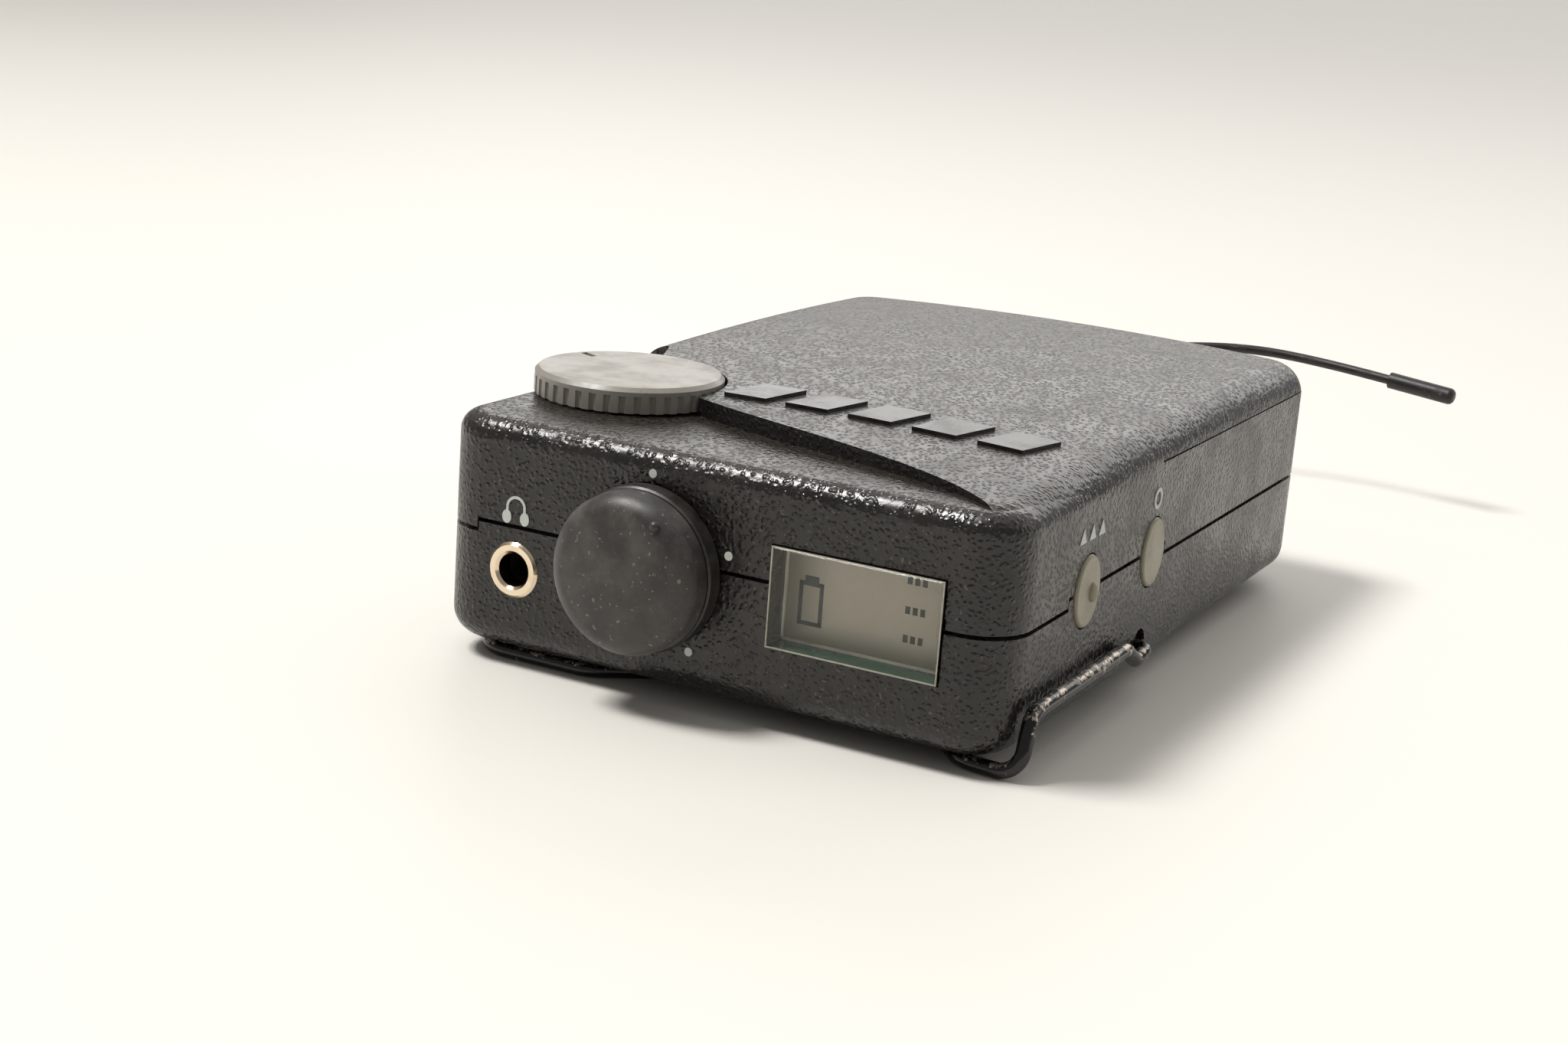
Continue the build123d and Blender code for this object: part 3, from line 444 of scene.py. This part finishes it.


# Display: dark segments on the crystal, the window's polished rim painted pale as a highlight, the walls seen
# through it, and the recess's inner corners painted pale as highlights
displaySpec = {  # millimetres
    "segmentDepth": 0.05, "line": 0.42,
    "left": 7.3, "right": 25.9, "low": 8.95, "high": 19.35,  # the window's opening
    "rimWidth": 0.14, "rimDepth": 0.12, "rimInset": 0.16,
    "wall": 0.12, "wallInset": 0.3, "edge": 0.24, "thinEdge": 0.1, "rightEdge": 0.12,
}
batterySign = {
    "left": 9.0, "right": 11.7, "low": 11.0, "high": 15.5, "capLeft": 9.6, "capRight": 11.1, "capHigh": 16.1,
}
readouts = {"bottoms": (17.4, 14.4, 11.5), "lefts": (20.6, 21.4, 22.2), "width": 0.5, "height": 0.75}
segmentInk = plainMoulding("crystalInk", "1b1a16", "26241f", rough=0.4, dusty=0.1)
# painted highlights: the pale colours of the rim and the inner corners stand for light caught by the clear
# acrylic's edges
rimPaintedHighlight = plainMoulding("polishedEdgePaintedHighlight", "a8a597", "6f6c60", rough=0.12, dusty=0.5)
wallPaint = plainMoulding("windowWall", "25211c", "3a352d", rough=0.3, dusty=0.4)
floorPaint = plainMoulding("windowSill", "1d4030", "14241c", rough=0.2, dusty=0.5)
edgePaintedHighlight = plainMoulding("acrylicCornerPaintedHighlight", "d6d2c6", "98937f", rough=0.15, dusty=0.6)


def makeDisplay(spec):
    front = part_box("display_panel")[0].y / mm
    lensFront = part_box("display_lens")[0].y / mm
    line = spec["line"]
    ink = bmesh.new()
    sign = batterySign
    bars = [  # left, bottom, right and top: a battery's outline with its cap
        (sign["left"], sign["low"], sign["left"] + line, sign["high"]),
        (sign["right"] - line, sign["low"], sign["right"], sign["high"]),
        (sign["left"], sign["low"], sign["right"], sign["low"] + line),
        (sign["left"], sign["high"] - line, sign["right"], sign["high"]),
        (sign["capLeft"], sign["high"], sign["capRight"], sign["capHigh"]),
    ]
    for bottom in readouts["bottoms"]:  # three plain readouts of small bars
        for left in readouts["lefts"]:
            bars.append((left, bottom, left + readouts["width"], bottom + readouts["height"]))
    for left, bottom, right, top in bars:
        addBlock(ink, (left, front - spec["segmentDepth"], bottom), (right, front, top))
    finishPiece("displaySegments", ink, segmentInk, "case", smooth=False)

    left, right, low, high = (spec[key] for key in ("left", "right", "low", "high"))
    # the rim is a pale strip painted as a highlight on the window's polished edge
    rim = bmesh.new()
    face = bmesh.ops.create_grid(rim, x_segments=1, y_segments=1, size=0.5)
    bmesh.ops.rotate(rim, cent=(0, 0, 0), matrix=Matrix.Rotation(pi / 2, 3, "X"), verts=face["verts"])
    bmesh.ops.scale(rim, vec=((right - left) * mm, 1, (high - low) * mm), verts=face["verts"])
    bmesh.ops.translate(
        rim, vec=Vector(((left + right) / 2, lensFront + spec["rimInset"], (low + high) / 2)) * mm,
        verts=face["verts"],
    )
    middle = rim.faces[:]
    bmesh.ops.inset_region(
        rim, faces=middle, thickness=spec["rimWidth"] * mm, use_boundary=True, use_even_offset=True,
    )
    bmesh.ops.delete(rim, geom=middle, context="FACES")
    bmesh.ops.solidify(rim, geom=rim.faces[:], thickness=spec["rimDepth"] * mm)
    finishPiece("windowRim", rim, rimPaintedHighlight, "case", smooth=False)

    wall, edge, thin = spec["wall"], spec["edge"], spec["thinEdge"]
    outer = lensFront + spec["wallInset"]
    inLeft, inRight, inLow, inHigh = left + wall, right - wall, low + wall, high - wall
    # the corner blocks are pale strips painted as highlights along the recess's inner corners
    for name, material, start, end in (  # opposite corners of each block
        ("windowWallLeft", wallPaint, (left, outer, low), (inLeft, front, high)),
        ("windowWallRight", wallPaint, (inRight, outer, low), (right, front, high)),
        ("windowWallTop", wallPaint, (left, outer, inHigh), (right, front, high)),
        ("windowSill", floorPaint, (left, outer, low), (right, front, inLow)),
        ("windowCornerLeft", edgePaintedHighlight, (inLeft, front - edge, inLow), (inLeft + edge, front, inHigh)),
        ("windowCornerLow", edgePaintedHighlight, (inLeft, front - edge, inLow), (inRight, front, inLow + edge)),
        ("windowCornerHigh", edgePaintedHighlight, (inLeft, front - thin, inHigh - thin), (inRight, front, inHigh)),
        (
            "windowCornerRight", edgePaintedHighlight,
            (inRight - spec["rightEdge"], front - thin, inLow), (inRight, front, inHigh),
        ),
    ):
        side = bmesh.new()
        addBlock(side, start, end)
        finishPiece(name, side, material, "case", smooth=False)


makeDisplay(displaySpec)


# Knob: a small raised pip near the rim of its dome
pipSpec = {"radius": 7.1, "rise": 5.75, "angle": radians(57), "size": 0.55}  # millimetres and an angle


def makePip(spec):
    low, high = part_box("volume_knob")
    centreX, centreZ = (low.x + high.x) / 2, (low.z + high.z) / 2
    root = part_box("bottom_shell")[0].y
    pip = bmesh.new()
    made = bmesh.ops.create_uvsphere(pip, u_segments=20, v_segments=12, radius=spec["size"] * mm)
    place = (
        centreX + spec["radius"] * mm * cos(spec["angle"]), root - spec["rise"] * mm,
        centreZ + spec["radius"] * mm * sin(spec["angle"]),
    )
    bmesh.ops.translate(pip, vec=place, verts=made["verts"])
    finishPiece("knobPip", pip, knobRubber, "volume_knob_body")


makePip(pipSpec)


# Scroll button: its flattened raised pip, wide enough for a fingertip to find
scrollPipSpec = {  # millimetres
    "ahead": 0.9, "below": 0.25, "radius": 1.05, "rise": 0.62, "proud": 0.25,
    "narrow": 0.8,  # its width along the case, as a part of its height
}


def makeScrollPip(spec):
    low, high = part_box("scroll_button")
    middle = (low + high) / 2
    pip = bmesh.new()
    made = bmesh.ops.create_uvsphere(pip, u_segments=28, v_segments=16, radius=spec["radius"] * mm)
    bmesh.ops.scale(pip, vec=(spec["rise"] / spec["radius"], spec["narrow"], 1.0), verts=made["verts"])
    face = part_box("bottom_shell")[1].x + spec["proud"] * mm
    bmesh.ops.translate(
        pip, vec=(face, middle.y + spec["ahead"] * mm, middle.z - spec["below"] * mm), verts=made["verts"]
    )
    finishPiece("scrollPip", pip, buttonAbs, "scroll_button_body")


makeScrollPip(scrollPipSpec)
print("small pieces made")


# Pale floor and plain soft light
def makeFloor(halfWidth=60.0):  # metres
    bm = bmesh.new()
    bmesh.ops.create_grid(bm, x_segments=1, y_segments=1, size=halfWidth)
    mesh = bpy.data.meshes.new("floor")
    bm.to_mesh(mesh)
    bm.free()
    floor = bpy.data.objects.new("floor", mesh)
    scene.collection.objects.link(floor)
    material, place = startMaterial("paleFloor")
    mottle = addNode(material, "ShaderNodeTexNoise", {"Vector": place, "Scale": 6.0, "Detail": 3.0})
    cloud = mottle.outputs["Fac"]
    colour = blendColours(material, times(material, cloud, 0.15), linear("dedbd5"), linear("d5d1ca"))
    mesh.materials.append(endMaterial(material, Base_Color=colour, Roughness=0.55))


lampSpecs = {  # place and aim in metres, width, height, power in watts
    "skyBox": ((0.0, 1.0, 3.0), (0, 0, 0.02), 5.0, 5.0, 36.0),
    "backBox": ((-1.0, 6.0, 2.6), (0, 0, 0.02), 7.0, 3.0, 120.0),
    "topBox": ((-0.46, -0.28, 1.0), (0, 0, 0.02), 0.3, 0.3, 13.0),
    "rightBox": ((1.5, 0.9, 0.8), (0, 0, 0.02), 0.9, 0.9, 4.0),
}


def makeLamps(specs):
    for name, (place, aim, width, height, power) in specs.items():
        data = bpy.data.lights.new(name, "AREA")
        data.shape = "RECTANGLE"
        data.size = width
        data.size_y = height
        data.energy = power
        data.color = (1.0, 0.98, 0.95)
        lamp = bpy.data.objects.new(name, data)
        scene.collection.objects.link(lamp)
        ahead = (Vector(aim) - Vector(place)).normalized()
        turn = ahead.to_track_quat("-Z", "Y").to_matrix().to_4x4()
        lamp.matrix_world = Matrix.Translation(place) @ turn
    world = bpy.data.worlds.new("studio")
    scene.world = world
    world.use_nodes = True
    background = world.node_tree.nodes["Background"]
    background.inputs["Color"].default_value = linear("f6f4f1")
    background.inputs["Strength"].default_value = 0.3
    scene.view_settings.view_transform = "Standard"


makeFloor()
makeLamps(lampSpecs)
print("floor and light made")
